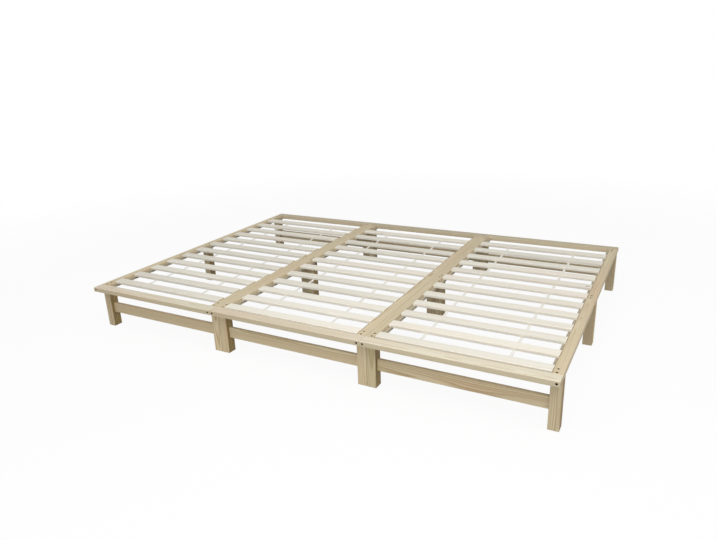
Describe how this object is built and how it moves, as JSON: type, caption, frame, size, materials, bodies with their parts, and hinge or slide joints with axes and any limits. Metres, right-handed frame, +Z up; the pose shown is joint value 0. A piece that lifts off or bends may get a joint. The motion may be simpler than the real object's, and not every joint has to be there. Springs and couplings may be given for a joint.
{
  "type": "triple bunk bed",
  "caption": "Low stackable bed frames of pale pine, each with short legs, end stretchers and a roll-up slatted base, standing side by side as one wide bed.",
  "frame": {"origin": "on the floor, at the middle of the row of beds", "axes": "+X across the row to the right, seen from the front; +Y from the front boards to the back boards; +Z up"},
  "size_m": [2.867, 2.06, 0.29],
  "materials": {
    "pine_timber": "planed, unfinished pine",
    "pine_slats": "planed, unfinished pine",
    "webbing": "plain woven tape",
    "zinc_steel": "dull zinc plating",
    "beech_dowel": "fluted beech, seen as plain"
  },
  "bodies": {
    "left_bed_frame": {"left_bed_left_rail": "pine_timber", "left_bed_right_rail": "pine_timber", "left_bed_front_board": "pine_timber", "left_bed_back_board": "pine_timber", "left_bed_left_ledge": "pine_timber", "left_bed_right_ledge": "pine_timber", "left_bed_front_left_leg": "pine_timber", "left_bed_front_right_leg": "pine_timber", "left_bed_middle_left_leg": "pine_timber", "left_bed_middle_right_leg": "pine_timber", "left_bed_back_left_leg": "pine_timber", "left_bed_back_right_leg": "pine_timber", "left_bed_front_stretcher": "pine_timber", "left_bed_back_stretcher": "pine_timber", "left_bed_leg_screws": "zinc_steel", "left_bed_corner_bolts": "zinc_steel", "left_bed_ledge_screws": "zinc_steel", "left_bed_dowels": "beech_dowel"},
    "left_bed_slatted_base": {"left_bed_slats": "pine_slats", "left_bed_straps": "webbing"},
    "middle_bed_frame": {"middle_bed_left_rail": "pine_timber", "middle_bed_right_rail": "pine_timber", "middle_bed_front_board": "pine_timber", "middle_bed_back_board": "pine_timber", "middle_bed_left_ledge": "pine_timber", "middle_bed_right_ledge": "pine_timber", "middle_bed_front_left_leg": "pine_timber", "middle_bed_front_right_leg": "pine_timber", "middle_bed_middle_left_leg": "pine_timber", "middle_bed_middle_right_leg": "pine_timber", "middle_bed_back_left_leg": "pine_timber", "middle_bed_back_right_leg": "pine_timber", "middle_bed_front_stretcher": "pine_timber", "middle_bed_back_stretcher": "pine_timber", "middle_bed_leg_screws": "zinc_steel", "middle_bed_corner_bolts": "zinc_steel", "middle_bed_ledge_screws": "zinc_steel", "middle_bed_dowels": "beech_dowel"},
    "middle_bed_slatted_base": {"middle_bed_slats": "pine_slats", "middle_bed_straps": "webbing"},
    "right_bed_frame": {"right_bed_left_rail": "pine_timber", "right_bed_right_rail": "pine_timber", "right_bed_front_board": "pine_timber", "right_bed_back_board": "pine_timber", "right_bed_left_ledge": "pine_timber", "right_bed_right_ledge": "pine_timber", "right_bed_front_left_leg": "pine_timber", "right_bed_front_right_leg": "pine_timber", "right_bed_middle_left_leg": "pine_timber", "right_bed_middle_right_leg": "pine_timber", "right_bed_back_left_leg": "pine_timber", "right_bed_back_right_leg": "pine_timber", "right_bed_front_stretcher": "pine_timber", "right_bed_back_stretcher": "pine_timber", "right_bed_leg_screws": "zinc_steel", "right_bed_corner_bolts": "zinc_steel", "right_bed_ledge_screws": "zinc_steel", "right_bed_dowels": "beech_dowel"},
    "right_bed_slatted_base": {"right_bed_slats": "pine_slats", "right_bed_straps": "webbing"}
  },
  "joints": [
    {"name": "left_bed_slides_away", "type": "slide", "parent": "middle_bed_frame", "child": "left_bed_frame", "axis": [-1, 0, 0], "range_m": [0, 0.6]},
    {"name": "right_bed_slides_away", "type": "slide", "parent": "middle_bed_frame", "child": "right_bed_frame", "axis": [1, 0, 0], "range_m": [0, 0.6]},
    {"name": "left_bed_slats_lift_out", "type": "slide", "parent": "left_bed_frame", "child": "left_bed_slatted_base", "axis": [0, 0, 1], "range_m": [0, 0.25]},
    {"name": "middle_bed_slats_lift_out", "type": "slide", "parent": "middle_bed_frame", "child": "middle_bed_slatted_base", "axis": [0, 0, 1], "range_m": [0, 0.25]},
    {"name": "right_bed_slats_lift_out", "type": "slide", "parent": "right_bed_frame", "child": "right_bed_slatted_base", "axis": [0, 0, 1], "range_m": [0, 0.25]}
  ]
}
